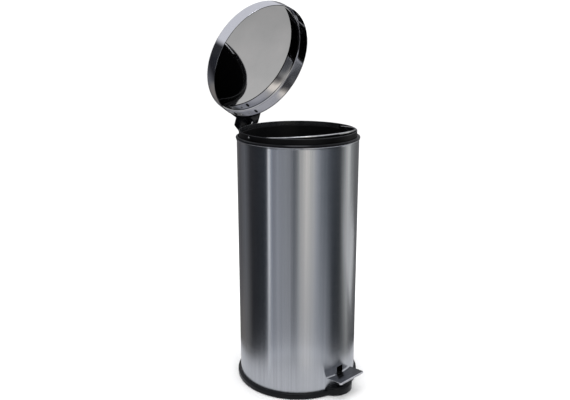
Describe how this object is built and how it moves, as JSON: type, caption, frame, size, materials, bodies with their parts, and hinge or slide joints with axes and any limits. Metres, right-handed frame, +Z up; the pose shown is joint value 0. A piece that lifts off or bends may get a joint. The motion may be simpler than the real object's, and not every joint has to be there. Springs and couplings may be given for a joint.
{
  "type": "pedal trash can",
  "caption": "Round steel pedal bin with a hinged lid lifted by a foot pedal through a lift rod, and a lift-out inner bucket with a wire handle.",
  "frame": {"origin": "centre of the base's underside, on the floor", "axes": "+Z up the bin, -Y towards the front where the pedal is, +Y towards the hinge, X across"},
  "size_m": [0.309, 0.3952, 0.9364],
  "materials": {
    "brushed_steel": "vertically reflecting brushed stainless steel",
    "lid_steel": "brushed outside, mirror polished inside",
    "steel_wire": "bright plated wire, pins and screws",
    "pressed_steel": "darker brushed sheet steel",
    "gloss_black_plastic": "glossy black moulding",
    "matte_black_plastic": "satin black moulding"
  },
  "bodies": {
    "can": {"body_shell": "brushed_steel", "base_moulding": "gloss_black_plastic", "top_collar": "gloss_black_plastic", "inner_bucket": "matte_black_plastic", "hinge_base": "gloss_black_plastic", "hinge_backing_plate": "pressed_steel", "hinge_screw_1": "steel_wire", "hinge_screw_2": "steel_wire", "hinge_screw_3": "steel_wire", "hinge_screw_4": "steel_wire", "hinge_pin": "steel_wire", "hinge_pin_clip": "pressed_steel", "rod_guide_upper": "matte_black_plastic", "rod_guide_lower": "matte_black_plastic", "lever_pivot_pin": "steel_wire"},
    "lid": {"lid_shell": "lid_steel", "lid_arm": "gloss_black_plastic", "lid_screw_left": "steel_wire", "lid_screw_right": "steel_wire"},
    "rod": {"lift_rod": "steel_wire", "rod_clip": "pressed_steel"},
    "pedal": {"pedal_lever": "pressed_steel", "pedal_plate": "pressed_steel"},
    "handle": {"bucket_handle": "steel_wire"}
  },
  "joints": [
    {"name": "lid_hinge", "type": "hinge", "parent": "can", "child": "lid", "pos_m": [0, 0.1837, 0.6152], "axis": [1, 0, 0], "range_deg": [0, 68.2]},
    {"name": "rod_slide", "type": "slide", "parent": "can", "child": "rod", "axis": [0, 0, -1], "range_m": [0, 0.025]},
    {"name": "pedal_pivot", "type": "hinge", "parent": "can", "child": "pedal", "pos_m": [0, -0.025, 0.04], "axis": [-1, 0, 0], "range_deg": [0, 8.66]},
    {"name": "handle_swing", "type": "hinge", "parent": "can", "child": "handle", "pos_m": [0, 0, 0.631], "axis": [-0.9903, 0.1392, 0], "range_deg": [0, 169.8]}
  ],
  "couplings": [
    {"joint": "rod_slide", "follows": "lid_hinge", "m_per_rad": 0.021},
    {"joint": "pedal_pivot", "follows": "lid_hinge", "ratio": 0.12692}
  ]
}
